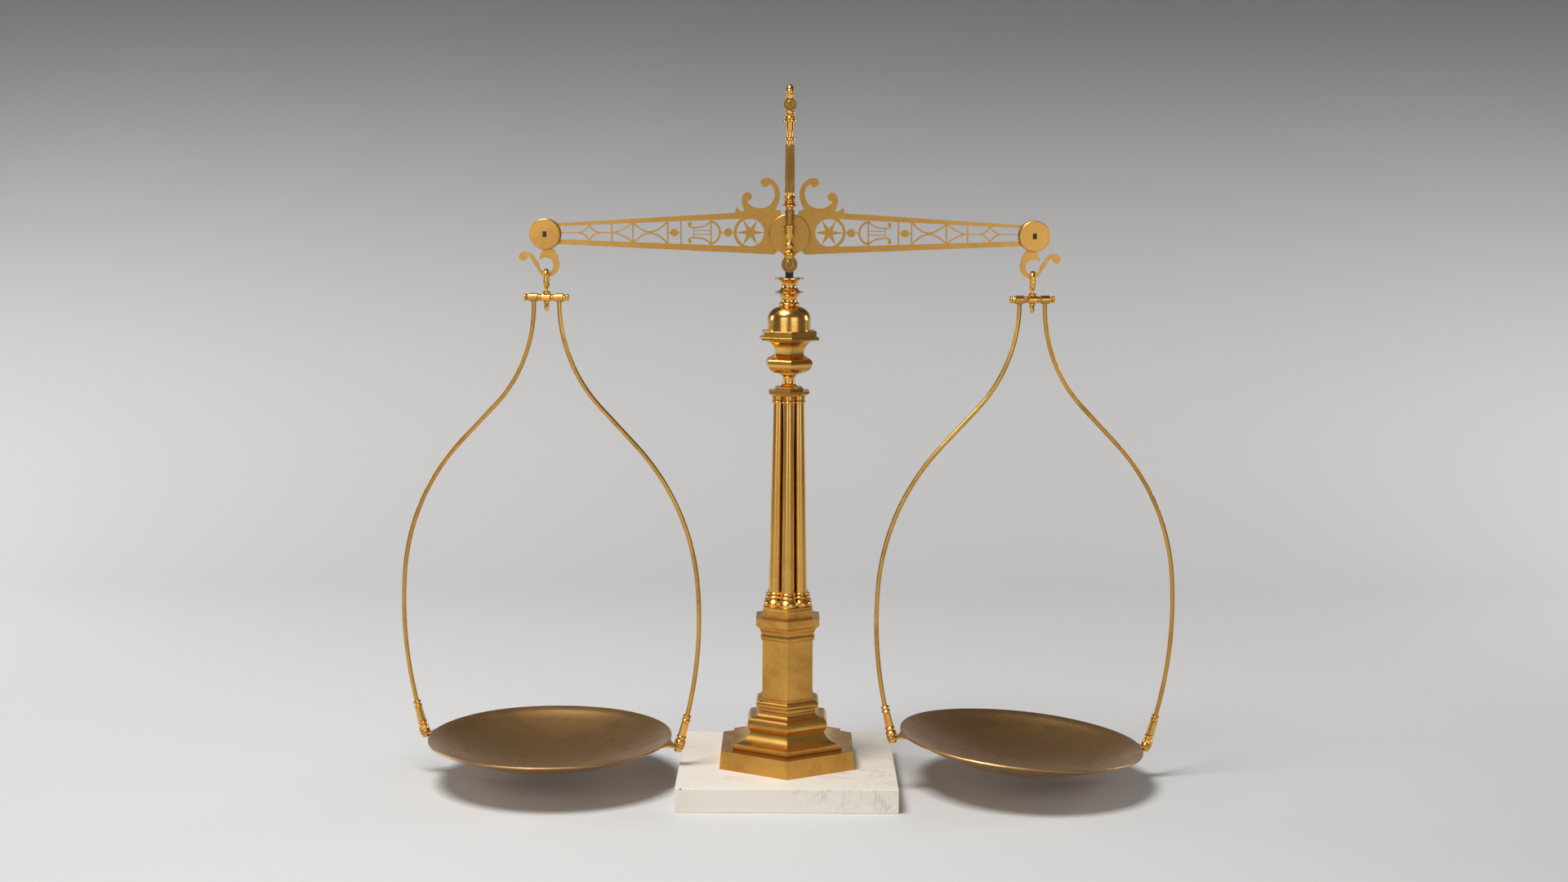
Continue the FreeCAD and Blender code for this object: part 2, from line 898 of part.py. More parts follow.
def star_face():
    """Six-pointed star whose tips run into the ring."""
    reach = star_radius + 0.9
    waist = 4.3
    corners = []
    for step in range(2 * star_points):
        angle = math.pi * step / star_points
        radius = reach if step % 2 == 0 else waist
        x = star_reach + radius * math.cos(angle)
        corners.append((x, window_middle(star_reach) + radius * math.sin(angle)))
    return outline(corners[0], corners[1:])


def fretwork():
    """Everything that stands in the pierced window of one arm."""
    mid = window_middle
    faces = [star_face()]
    faces += [upright(x, line_width) for x in (81.8, 113.0, 126.7, 162.9, 184.9)]
    faces += [disc_face(63.9, mid(63.9), 4.4), disc_face(120.0, mid(120.0), 4.1)]
    faces += [line(57.2, 72.5, 1.2), line(113.0, 126.7, 1.2)]
    faces += [line(181.0, 197.4, 1.2), line(219.6, arm_end - 1, 1.0)]
    for offset in (-2.0, 2.0):
        faces.append(
            outline(
                (81.8, mid(90) + offset - string_width / 2),
                [
                    (99.6, mid(90) + offset - string_width / 2),
                    (99.6, mid(90) + offset + string_width / 2),
                    (81.8, mid(90) + offset + string_width / 2),
                ],
            )
        )
    short_low = 2 * mid(99.6) - 7.9
    faces.append(outline((99.2, short_low), [(100.1, short_low), (100.1, 7.9), (99.2, 7.9)]))
    faces += [disc_face(103.8, 11.2, 2.0), disc_face(103.8, 2 * mid(103.8) - 11.2, 2.0)]
    faces += strokes()
    solids = [plate(face, beam_thickness) for face in faces]
    outer = pin(13.0, -beam_thickness / 2, beam_thickness / 2, 84.3, mid(84.3))
    inner = pin(10.8, -beam_thickness, beam_thickness, 84.3, mid(84.3))
    side = block(60, 81.8, -beam_thickness, beam_thickness, -30, 30)
    solids.append(outer.cut(inner).common(side))
    return solids


def beam_plate():
    """Flat pierced beam with scrolls, both arms in one piece."""
    half = beam_thickness / 2
    arm = plate(arm_profile(), beam_thickness)
    middle = window_middle(star_reach)
    window = outline(
        (star_reach, window_bottom(star_reach)),
        [
            (spacer_start, window_bottom(spacer_start)),
            (spacer_start, window_top(spacer_start)),
            (star_reach, window_top(star_reach)),
        ],
    )
    window_solid = plate(window, 2 * beam_thickness)
    window_solid = window_solid.cut(pin(star_radius + star_ring, -9, 9, star_reach, middle))
    arm = arm.cut(window_solid)
    arm = arm.cut(pin(star_radius, -9, 9, star_reach, middle))
    big_scroll = ribbon(
        [(21.0, 23.0), (16.4, 30.6), (13.3, 38.0), (13.2, 45.0), (16.0, 51.6), (21.4, 55.8), (26.4, 55.6)],
        [8.0, 7.0, 5.7, 5.3, 5.2, 5.6, 5.4],
    )
    small_scroll = ribbon(
        [(41.6, 24.0), (45.6, 29.8), (47.2, 35.2), (46.4, 40.0), (43.8, 41.6)],
        [8.0, 6.8, 5.6, 5.0, 4.6],
    )
    trims = [
        plate(big_scroll, beam_thickness),
        plate(small_scroll, beam_thickness),
        pin(scroll_ball_radius, -half, half, 25.7, 54.2),
        pin(scroll_ball_radius, -half, half, 43.9, 39.6),
    ]
    arm = fused([arm] + trims + fretwork())
    whole = fused([arm, mirrored(arm)])
    tang = block(
        -pointer_tang_width / 2, pointer_tang_width / 2, -half, half, pointer_tang_rise, boss_radius + 9
    )
    return moved(whole.cut(tang), z=beam_z).cut(centre_knife())


def front_boss():
    """Raised disc on the front of the beam's middle."""
    low = -beam_thickness / 2 - boss_height
    disc = pin(boss_radius, low, -beam_thickness / 2)
    rim = [e for e in disc.Edges if e.BoundBox.YMax < low + edge_break / 2]
    disc = disc.makeChamfer(edge_break, rim)
    return moved(disc, z=beam_z + boss_lift).cut(centre_knife())


def knife_section(width, height, edge_drop):
    """Rectangle with a pointed lower edge; the edge is at the origin."""
    half = width / 2
    return outline((0, 0), [(half, edge_drop), (half, height), (-half, height), (-half, edge_drop)])


def centre_knife():
    """Steel knife whose edge carries the beam."""
    section = knife_section(centre_knife_width, centre_knife_height, 3.4)
    return moved(plate(section, 2 * centre_knife_reach), z=fulcrum_z)


def pointer():
    """Slim needle that rises between the cheeks."""
    half = pointer_tang_width / 2
    shoulder = boss_lift + boss_radius
    needle = outline(
        (-half, pointer_tang_rise),
        [
            (half, pointer_tang_rise),
            (half, shoulder),
            (pointer_tip_width / 2, pointer_tip_rise),
            (-pointer_tip_width / 2, pointer_tip_rise),
            (-half, shoulder),
        ],
    )
    return moved(plate(needle, beam_thickness), z=beam_z)


def end_discs():
    """Front and rear disc at the right end of the beam."""
    disc = pin(end_disc_radius, -disc_outer_y, -disc_inner_y, arm_length, beam_z)
    rim = [e for e in disc.Edges if e.BoundBox.YMax < -disc_outer_y + edge_break / 2]
    disc = disc.makeChamfer(edge_break, rim)
    disc = disc.cut(end_knife())
    return group([disc, flipped(disc)])


def end_spacers():
    """Two half-moon packings between the discs and the tip of the beam plate."""
    slot = beam_thickness / 2
    column = pin(end_disc_radius - 1.6, -disc_inner_y, -slot, arm_length, beam_z)
    inboard = block(0, arm_end + 0.4, -disc_inner_y, -slot, 0, 2 * beam_z)
    half_moon = column.common(inboard)
    return group([half_moon, flipped(half_moon)])


def end_knife():
    """Steel bar through both discs, ground to an upward edge between them."""
    half = end_knife_width / 2
    low = beam_z - end_knife_height / 2
    high = beam_z + end_knife_height / 2
    bar = block(arm_length - half, arm_length + half, -disc_outer_y, disc_outer_y, low, high)
    blank = outline(
        (arm_length, end_edge_z),
        [
            (arm_length + half + 1, end_edge_z - end_knife_edge_drop - 1),
            (arm_length + half + 1, high + 1),
            (arm_length - half - 1, high + 1),
            (arm_length - half - 1, end_edge_z - end_knife_edge_drop - 1),
        ],
    )
    return bar.cut(plate(blank, end_disc_gap))


# ---- hook, shackle and crossbar -------------------------------------------------------------


def hook_plate():
    """Flat hook: eye, neck with a barb, open crook and a long curled tail."""
    thickness = hook_thickness
    half = thickness / 2
    inner = crook_inner_radius
    outer = inner + crook_strap
    toe = inner + crook_toe_strap
    eye = pin(hook_eye_radius, -half, half, arm_length, beam_z)
    neck = outline(
        (-7.4, -3.0),
        [
            (-7.0, -9.0),
            (-7.6, -15.6),
            (-11.6, -20.6, -outer - crook_shift + 1.2, -hook_drop + 5.4),
            (-inner - crook_shift + 0.8, -hook_drop + 3.6),
            (-crook_shift, -hook_drop + inner),
            (3.4, -hook_drop + inner - 0.4, 6.0, -26.4),
            (7.0, -24.4),
            (5.0, -20.6, 3.6, -16.0),
            (5.0, -9.0),
            (7.4, -3.0),
        ],
    )
    crook = outline(
        (-crook_shift, -hook_drop - inner),
        [
            (-crook_shift - inner * math.cos(0.6), -hook_drop - inner * math.sin(0.6),
             -inner - crook_shift + 0.8, -hook_drop + 3.6),
            (-outer - crook_shift + 1.2, -hook_drop + 5.4),
            (-crook_shift - outer * math.cos(0.35), -hook_drop - outer * math.sin(0.35),
             -crook_shift - 3.4, -hook_drop - toe + 0.2),
            (-crook_shift + 1.6, -hook_drop - toe + 0.1, -crook_shift + 5.4, -hook_drop - toe + 3.4),
            (-crook_shift + 3.4, -hook_drop - inner + 0.9),
        ],
    )
    tail = ribbon(
        [
            (1.4, -41.6),
            (4.6, -39.0),
            (8.6, -32.8),
            (12.8, -26.4),
            (16.8, -21.6),
            (20.6, -19.9),
            (24.4, -21.4),
        ],
        [4.4, 4.4, 4.2, 3.9, 3.6, 3.4, 3.8],
    )
    solids = [eye]
    for face in (neck, crook, tail):
        solids.append(moved(plate(face, thickness), x=arm_length, z=beam_z))
    solids.append(
        pin(tail_ball_radius, -half, half, arm_length + 23.7, beam_z - 23.8)
    )
    hook = fused(solids)
    hook = hook.cut(pin(crook_inner_radius, -half, half, crook_x, crook_z))
    return hook.cut(pin(hook_hole_radius, -half, half, arm_length, beam_z))


def hook_bearing():
    """Steel cap in the hook's eye, with an inverted V that rides on the end knife."""
    half = hook_thickness / 2
    seat_z = end_edge_z + seat_gap
    drum = pin(hook_hole_radius, -half, half, arm_length, beam_z)
    keep = block(
        arm_length - hook_hole_radius,
        arm_length + hook_hole_radius,
        -half,
        half,
        seat_z - 0.9,
        beam_z + hook_hole_radius,
    )
    notch = outline(
        (arm_length, seat_z),
        [(arm_length + 7, seat_z - 3.2), (arm_length - 7, seat_z - 3.2)],
    )
    return drum.common(keep).cut(plate(notch, 2 * hook_thickness))


def shackle():
    """Upright link over the crook, with a coned collar and a swivel pin below."""
    top_z = crook_z - crook_inner_radius + link_gap + link_thickness / 2
    upper_z = top_z - link_half_span
    lower_z = upper_z - link_straight
    middle = V(0, link_half_span, 0)
    wide = V(link_width / 2, link_half_span, 0)
    thick = V(0, link_half_span + link_thickness / 2, 0)
    face = Part.Face(Part.Wire([Part.Ellipse(wide, thick, middle).toShape()]))
    ring = face.revolve(V(0, 0, 0), V(1, 0, 0), 180)
    side = face.extrude(V(0, 0, -link_straight))
    ring_low = spun(ring, 180, V(1, 0, 0))
    parts = [
        moved(ring, z=upper_z),
        moved(side, z=upper_z),
        moved(flipped(side), z=upper_z),
        moved(ring_low, z=lower_z),
    ]
    bottom_z = lower_z - link_half_span
    collar_z = bar_z + bar_flat_rise + swivel_end_gap
    collar = [
        (collar_radius, 0),
        (collar_radius, 1.1),
        (collar_radius - 1.3, 2.2),
        (link_width / 2 - 0.5, bottom_z - collar_z),
        (0, bottom_z - collar_z),
    ]
    parts.append(turned((0, 0), collar, z=collar_z))
    pin_end = bar_z - bar_flat_rise - swivel_end_gap - swivel_thread
    parts.append(rod(swivel_radius, pin_end, collar_z + 0.5))
    return moved(fused(parts), x=crook_x)


def swivel_finial():
    """Turned nut that holds the crossbar on the swivel pin."""
    top_z = bar_z - bar_flat_rise - swivel_end_gap
    profile = [
        (3.0, 0),
        (3.0, -1.4),
        (2.5, -2.0),
        (2.9, -2.9),
        (1.7, -4.0),
        (2.5, -6.4, 1.5, -9.0),
        (0.5, -9.9),
        (0, -10.1),
    ]
    nut = turned((0, 0), profile, z=top_z)
    bore = rod(swivel_radius, top_z - swivel_thread, top_z)
    return moved(nut.cut(bore), x=crook_x)


def along_bar(start, moves):
    """Turning about the crossbar's axis, from a profile of (radius, distance along the bar)."""
    return spun(turned(start, moves), 90, V(0, 1, 0))


def crossbar():
    """Turned bar with a block in the middle and a beaded pin at each end."""
    half_block = bar_block_length / 2
    barrel_start = barrel_spacing / 2 - barrel_length / 2
    pin_end = barrel_spacing / 2 + barrel_length / 2 + 1.2
    bead = (half_block + barrel_start) / 2
    profile = [
        (bar_block_radius, 0),
        (bar_block_radius, half_block - 0.6),
        (bar_block_radius - 0.6, half_block),
        (bar_neck_radius, half_block + 0.4),
        (bar_neck_radius, bead - 0.8),
        (bar_neck_radius + 1.0, bead, bar_neck_radius, bead + 0.8),
        (bar_neck_radius, pin_end),
        (0, pin_end),
    ]
    arm = along_bar((0, 0), profile)
    bar = fused([arm, spun(arm, 180)])
    for side in (1, -1):
        low, high = sorted((side * bar_flat_rise, side * (bar_block_radius + 1)))
        bar = bar.cut(block(-half_block, half_block, -half_block, half_block, low, high))
    return bar.cut(rod(swivel_radius + swivel_clearance, -bar_block_radius, bar_block_radius))


def bar_knobs():
    """Mushroom knob at each end of the crossbar."""
    start = barrel_spacing / 2 + barrel_length / 2 + 1.2
    profile = [
        (bar_neck_radius + 0.4, start),
        (bar_neck_radius - 0.3, start + 1.2),
        (knob_radius - 0.4, start + 1.9),
        (knob_radius, start + 2.9, knob_radius - 1.4, start + knob_length - 0.5),
        (0, start + knob_length),
    ]
    knob = along_bar((0, start), profile)
    return group([knob, spun(knob, 180)])


# ---- bow legs, ferrules and pan -------------------------------------------------------------


def leg_path(shift):
    """Centre line of an outer leg, from the crossbar's axis down to the ferrule. The shift is
    how much lower its foot stands than the even length."""
    toe_z = -bow_toe_drop - shift
    moves = [
        ("run", bow_start_run),
        ("turn", bow_shoulder_radius, bow_shoulder_angle),
        ("run", bow_run),
        ("turn", bow_waist_radius, bow_waist_angle),
    ]
    shoulder, here, heading = trace((barrel_spacing / 2, 0), 0, moves)
    drop = here.z - toe_z
    belly = math.degrees(math.asin(math.sin(math.radians(heading)) - drop / bow_belly_radius))
    moves.append(("turn", bow_belly_radius, belly))
    return trace((barrel_spacing / 2, 0), 0, moves)


def leg(shift):
    """Bow leg: barrel on the crossbar and a long S-curved wire."""
    path, toe, heading = leg_path(shift)
    circle = Part.Circle(point(barrel_spacing / 2, 0), V(0, 0, 1), wire_radius)
    wire = path.makePipeShell([Part.Wire([circle.toShape()])], True, True)
    barrel_start = barrel_spacing / 2 - barrel_length / 2
    radius = barrel_radius
    profile = [
        (radius - 0.5, barrel_start),
        (radius, barrel_start + 0.5),
        (radius, barrel_start + barrel_length - 0.5),
        (radius - 0.5, barrel_start + barrel_length),
        (0, barrel_start + barrel_length),
    ]
    barrel = along_bar((0, barrel_start), profile)
    bore = along_bar(
        (0, barrel_start - 1),
        [
            (bar_neck_radius + bar_clearance, barrel_start - 1),
            (bar_neck_radius + bar_clearance, barrel_start + barrel_length + 1),
            (0, barrel_start + barrel_length + 1),
        ],
    )
    return fused([barrel, wire]).cut(bore)


def on_toe(shape, shift):
    """Place a shape that hangs from the origin at the toe of an outer leg."""
    path, toe, heading = leg_path(shift)
    return moved(spun(shape, -heading, V(0, 1, 0)), x=toe.x, z=toe.z)


def ferrule(shift):
    """Turned ferrule with a faceted body, a cupped foot and a threaded pin."""
    top = ferrule_socket
    foot = top - ferrule_length
    profile = [
        (3.1, top),
        (4.3, top - 0.9),
        (4.3, top - 2.2),
        (3.4, top - 3.2),
        (3.4, top - 4.0),
        (4.5, top - 5.0),
        (4.5, top - 6.6),
        (3.5, top - 8.0),
        (3.6, top - 22.4),
        (5.0, top - 23.6),
        (5.0, top - 25.4),
        (4.0, top - 26.4),
        (4.0, top - 27.4),
        (5.4, top - 28.6),
        (5.8, foot + 4.6),
        (5.2, foot + 3.4),
        (5.8, foot + 2.4),
        (5.6, foot + 1.0),
        (4.6, foot),
        (0, foot),
    ]
    body = turned((0, top), profile)
    facets = frustum(facet_count, 4.2, 3.6, foot + ferrule_length - 22.4, foot + ferrule_length - 8.0)
    stub = rod(ferrule_pin_radius, foot - lug_thickness - foot_nut_height, foot)
    socket = rod(wire_radius + ferrule_fit, 0, top)
    return on_toe(fused([body, facets, stub]).cut(socket), shift)


def foot_nut(shift):
    """Round nut under the pan's lug."""
    top = ferrule_socket - ferrule_length - lug_thickness
    profile = [
        (foot_nut_radius, top),
        (foot_nut_radius, top - foot_nut_height + 0.7),
        (foot_nut_radius - 0.7, top - foot_nut_height),
        (ferrule_pin_radius, top - foot_nut_height),
    ]
    return on_toe(turned((ferrule_pin_radius, top), profile), shift)


def eye_point(shift):
    """Middle of the lug's eye on an outer leg, in the bow's own plane."""
    path, toe, heading = leg_path(shift)
    angle = math.radians(heading)
    reach = ferrule_length - ferrule_socket + lug_thickness / 2
    return toe + V(math.sin(angle), 0, -math.cos(angle)) * reach


def pan_place(outer_shift, inner_shift):
    """Centre of the rim, tilt about Y and half distance between the eyes."""
    outer = eye_point(outer_shift)
    inner = eye_point(inner_shift)
    inner.x = -inner.x
    middle = (outer + inner) * 0.5
    tilt = math.degrees(math.atan2(inner.z - outer.z, outer.x - inner.x))
    return middle, tilt, (outer - inner).Length / 2


def cap_radius():
    """Radius of the sphere that the pan is pressed to."""
    return (pan_radius ** 2 + pan_depth ** 2) / (2 * pan_depth)


def pan_in_place(shape, outer_shift, inner_shift):
    """Place a shape drawn about the rim's centre."""
    middle, tilt, half = pan_place(outer_shift, inner_shift)
    return moved(spun(shape, tilt, V(0, 1, 0)), x=middle.x, z=middle.z)


def pan_ball(radius, outer_shift, inner_shift):
    """Ball whose underside is the pan's outer or inner face."""
    ball = Part.makeSphere(radius, V(0, 0, cap_radius() - pan_depth + rim_rise))
    return pan_in_place(spun(ball, 90), outer_shift, inner_shift)


def pan(outer_shift, inner_shift):
    """Shallow round pan of one even sheet, pressed to a part of a sphere."""
    outer_ball = pan_ball(cap_radius(), outer_shift, inner_shift)
    inner_ball = pan_ball(cap_radius() - pan_sheet, outer_shift, inner_shift)
    disc = rod(pan_radius + 1, rim_rise - pan_depth - 1, rim_rise)
    disc = pan_in_place(disc, outer_shift, inner_shift)
    return outer_ball.common(disc).cut(inner_ball)


def pan_lugs(outer_shift, inner_shift):
    """Flat ear at each side of the pan, square to its ferrule. It flares out to the bowl and is
    let in just under the rim."""
    ball = pan_ball(cap_radius(), outer_shift, inner_shift)
    foot = ferrule_socket - ferrule_length
    flare = outline(
        (0, lug_eye_radius),
        [
            (-8.2, 7.2, -13.0, lug_root_width / 2),
            (-lug_reach, lug_root_width / 2 + 7),
            (-lug_reach, -lug_root_width / 2 - 7),
            (-13.0, -lug_root_width / 2),
            (-8.2, -7.2, 0, -lug_eye_radius),
        ],
    )
    ear = moved(spun(plate(flare, lug_thickness), 90, V(1, 0, 0)), z=foot - lug_thickness / 2)
    eye = rod(lug_eye_radius, foot - lug_thickness, foot)
    hole = rod(ferrule_pin_radius, foot - lug_thickness, foot)
    ear = fused([ear, eye]).cut(hole)
    outer = on_toe(ear, outer_shift).cut(ball)
    inner = mirrored(on_toe(ear, inner_shift)).cut(ball)
    return group([outer, inner])


def on_bar(shape):
    """Carry a shape from the crossbar's own frame to its place on the right-hand side."""
    return moved(spun(shape, bow_yaw), x=crook_x, z=bar_z)


# ---- all pieces -----------------------------------------------------------------------------

pieces["marble_base"] = marble_base()
pieces["foot_plinth"] = foot_plinth()
pieces["foot_moulding"] = foot_moulding()
pieces["pedestal_die"] = pedestal_die()
pieces["pedestal_cap"] = pedestal_cap()
pieces["column_block"] = column_block()
pieces["column_bases"] = column_bases()
pieces["column_shafts"] = column_shafts()
pieces["column_capital"] = column_capital()
pieces["vase"] = vase()
pieces["canopy_plate"] = canopy_plate()
pieces["dome"] = dome()
pieces["spool"] = spool()
pieces["neck_stem"] = neck_stem()
pieces["base_washer"] = base_washer()
pieces["base_nut"] = base_nut()
pieces["front_cheek"] = front_cheek()
pieces["rear_cheek"] = flipped(front_cheek())
pieces["cheek_finials"] = group([front_finial(), flipped(front_finial())])
pieces["cheek_bearings"] = group([front_bearing(), flipped(front_bearing())])
pieces["lower_cross_bolt"] = cross_bolt(0, cheek_face_y - 0.8, bolt_head_radius)
pieces["upper_cross_bolt"] = cross_bolt(upper_roundel_rise, cheek_face_y - 1.8, bolt_head_radius - 0.6)
pieces["cross_bolt_nuts"] = group(
    [cross_nut(0, cheek_face_y - 0.8), cross_nut(upper_roundel_rise, cheek_face_y - 1.8)]
)
pieces["upper_spacer"] = upper_spacer()

pieces["beam_plate"] = beam_plate()
pieces["front_boss"] = front_boss()
pieces["rear_boss"] = flipped(front_boss())
pieces["centre_knife"] = centre_knife()
pieces["pointer"] = pointer()

for side, outer_shift, inner_shift in (("right", lean_shift, -lean_shift), ("left", 0.0, 0.0)):
    bow = {
        "crossbar": crossbar(),
        "bar_knobs": bar_knobs(),
        "outer_leg": leg(outer_shift),
        "inner_leg": mirrored(leg(inner_shift)),
        "ferrules": group([ferrule(outer_shift), mirrored(ferrule(inner_shift))]),
        "foot_nuts": group([foot_nut(outer_shift), mirrored(foot_nut(inner_shift))]),
        "pan": pan(outer_shift, inner_shift),
        "pan_lugs": pan_lugs(outer_shift, inner_shift),
    }
    hung = {name: on_bar(shape) for name, shape in bow.items()}
    hung["end_discs"] = end_discs()
    hung["end_spacers"] = end_spacers()
    hung["end_knife"] = end_knife()
    hung["hook_plate"] = hook_plate()
    hung["hook_bearing"] = hook_bearing()
    hung["shackle"] = shackle()
    hung["swivel_finial"] = swivel_finial()
    for name, shape in hung.items():
        pieces[side + "_" + name] = shape if side == "right" else mirrored(shape)

os.makedirs("parts", exist_ok=True)
for name, shape in pieces.items():
    shape.exportStep("parts/" + name + ".step")
    print(name, len(shape.Solids), shape.isValid(), round(shape.Volume, 1))
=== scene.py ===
import math

import bmesh
import bpy
from mathutils import Matrix, Vector


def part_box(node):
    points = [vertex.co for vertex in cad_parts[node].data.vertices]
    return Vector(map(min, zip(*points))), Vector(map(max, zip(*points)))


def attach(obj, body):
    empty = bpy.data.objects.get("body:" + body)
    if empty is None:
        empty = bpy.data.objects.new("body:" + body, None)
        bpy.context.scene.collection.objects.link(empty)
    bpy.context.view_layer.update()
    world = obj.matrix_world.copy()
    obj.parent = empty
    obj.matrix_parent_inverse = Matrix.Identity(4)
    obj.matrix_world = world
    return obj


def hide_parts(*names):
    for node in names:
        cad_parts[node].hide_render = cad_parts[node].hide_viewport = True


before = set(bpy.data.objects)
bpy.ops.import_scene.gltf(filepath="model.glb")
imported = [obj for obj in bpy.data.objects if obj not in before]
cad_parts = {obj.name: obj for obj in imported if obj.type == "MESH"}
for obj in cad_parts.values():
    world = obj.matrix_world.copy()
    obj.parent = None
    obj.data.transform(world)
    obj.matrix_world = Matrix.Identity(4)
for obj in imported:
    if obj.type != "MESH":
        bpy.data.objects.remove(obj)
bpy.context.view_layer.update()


# ---- Marble slab ---------------------------------------------------------------------------
# A square slab of warm white marble, sawn, honed and bevelled by hand. It has faint grey
# veins and small chips along its arrises, where it has been knocked in use.


class Field:
    """A node's output. Sums written on it add Math nodes to the same board."""

    def __init__(self, board, socket):
        self.board = board
        self.socket = socket

    def math(self, operation, first, second):
        sockets = {0: first, 1: second}
        return self.board.node("ShaderNodeMath", {"operation": operation}, sockets)

    def __add__(self, other):
        return self.math("ADD", self, other)

    def __sub__(self, other):
        return self.math("SUBTRACT", self, other)

    def __rsub__(self, other):
        return self.math("SUBTRACT", other, self)

    def __mul__(self, other):
        return self.math("MULTIPLY", self, other)

    __radd__ = __add__
    __rmul__ = __mul__


class Board:
    """A node tree: node() adds any node, with its settings first and then its sockets."""

    def node(self, kind, settings=(), sockets=(), output=0):
        made = self.tree.nodes.new(kind)
        for name, value in dict(settings).items():
            setattr(made, name, value)
        for name, value in dict(sockets).items():
            self.fill(made.inputs[name], value)
        return Field(self, made.outputs[output])

    def fill(self, socket, value):
        if isinstance(value, Field):
            self.tree.links.new(value.socket, socket)
        elif socket.type == "RGBA":
            socket.default_value = (*value, 1.0)
        else:
            socket.default_value = value


class Finish(Board):
    """A procedural surface. paint() sets or drives one of the shader's own sockets."""

    def __init__(self, name, **constants):
        self.material = bpy.data.materials.new(name)
        self.material.use_nodes = True
        self.tree = self.material.node_tree
        self.shader = self.tree.nodes["Principled BSDF"]
        self.place = self.node("ShaderNodeTexCoord", output="Object")
        for socket, value in constants.items():
            self.paint(socket.replace("_", " "), value)

    def paint(self, socket, value):
        self.fill(self.shader.inputs[socket], value)

    def stretched(self, stretch, turn=0.0):
        """The piece's own coordinates, turned about the upright axis and stretched."""
        sockets = {"Vector": self.place, "Scale": stretch, "Rotation": (0.0, 0.0, turn)}
        return self.node("ShaderNodeMapping", {}, sockets)

    def cloud(self, where, scale, detail=4.0, rough=0.55, warp=0.0):
        sockets = {"Vector": where, "Scale": scale, "Detail": detail, "Roughness": rough}
        sockets["Distortion"] = warp
        return self.node("ShaderNodeTexNoise", {}, sockets)

    def between(self, value, low, high):
        """0 below low, 1 above high and smooth between them."""
        sockets = {"Value": value, "From Min": low, "From Max": high}
        return self.node("ShaderNodeMapRange", {"interpolation_type": "SMOOTHSTEP"}, sockets)

    def near(self, value, middle, reach):
        """1 where the value is at the middle, and 0 from the reach on either side of it."""
        away = self.node("ShaderNodeMath", {"operation": "ABSOLUTE"}, {0: value - middle})
        return 1.0 - self.between(away, 0.0, reach)

    def blend(self, amount, colour, other):
        sockets = {0: amount, 6: colour, 7: other}
        return self.node("ShaderNodeMix", {"data_type": "RGBA"}, sockets, output=2)

    def relief(self, height, strength, depth):
        """Metres of relief at the given depth, felt through the shader's normal."""
        sockets = {"Height": height, "Strength": strength, "Distance": depth}
        self.paint("Normal", self.node("ShaderNodeBump", {}, sockets))

    def cover(self, *names):
        """Give this finish to CAD nodes, on the slots they already have."""
        for name in names:
            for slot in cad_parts[name].material_slots:
                slot.material = self.material


def marble_finish():
    """Warm white stone with soft clouds, broad grey veins, hair veins and small flecks."""
    stone = (0.88, 0.83, 0.74)
    warm_stone = (0.80, 0.72, 0.60)
    vein_grey = (0.46, 0.45, 0.43)
    vein_run = (9.0, 22.0, 14.0)
    hair_run = (34.0, 60.0, 40.0)
    vein_width = 0.022
    hair_width = 0.012
    flecks_per_metre = 420.0
    grains_per_metre = 900.0
    hone_depth = 0.00025
    marble = Finish("honed_marble", Subsurface_Weight=0.12, Specular_IOR_Level=0.45)
    marble.paint("Subsurface Scale", 0.004)
    clouding = marble.cloud(marble.place, 14.0, 5.0, 0.6, 0.6)
    drift = marble.cloud(marble.stretched(vein_run, 0.6), 1.0, 6.0, 0.62, 1.4)
    vein = marble.near(drift, 0.5, vein_width)
    hair = marble.cloud(marble.stretched(hair_run, -0.4), 1.0, 5.0, 0.6, 0.8)
    hair_vein = marble.near(hair, 0.53, hair_width)
    patchy = marble.between(marble.cloud(marble.place, 11.0, 2.0), 0.45, 0.68)
    colour = marble.blend(marble.between(clouding, 0.38, 0.72) * 0.55, stone, warm_stone)
    colour = marble.blend(vein * patchy * 0.55, colour, vein_grey)
    colour = marble.blend(hair_vein * patchy * 0.35, colour, vein_grey)
    fleck = marble.between(marble.cloud(marble.place, flecks_per_metre, 2.0), 0.66, 0.74)
    colour = marble.blend(fleck * 0.30, colour, vein_grey)
    marble.paint("Base Color", colour)
    grain = marble.cloud(marble.place, grains_per_metre, 3.0)
    marble.paint("Roughness", 0.36 + 0.16 * clouding + 0.10 * grain)
    marble.relief(grain * 0.4 + clouding, 0.35, hone_depth)
    return marble


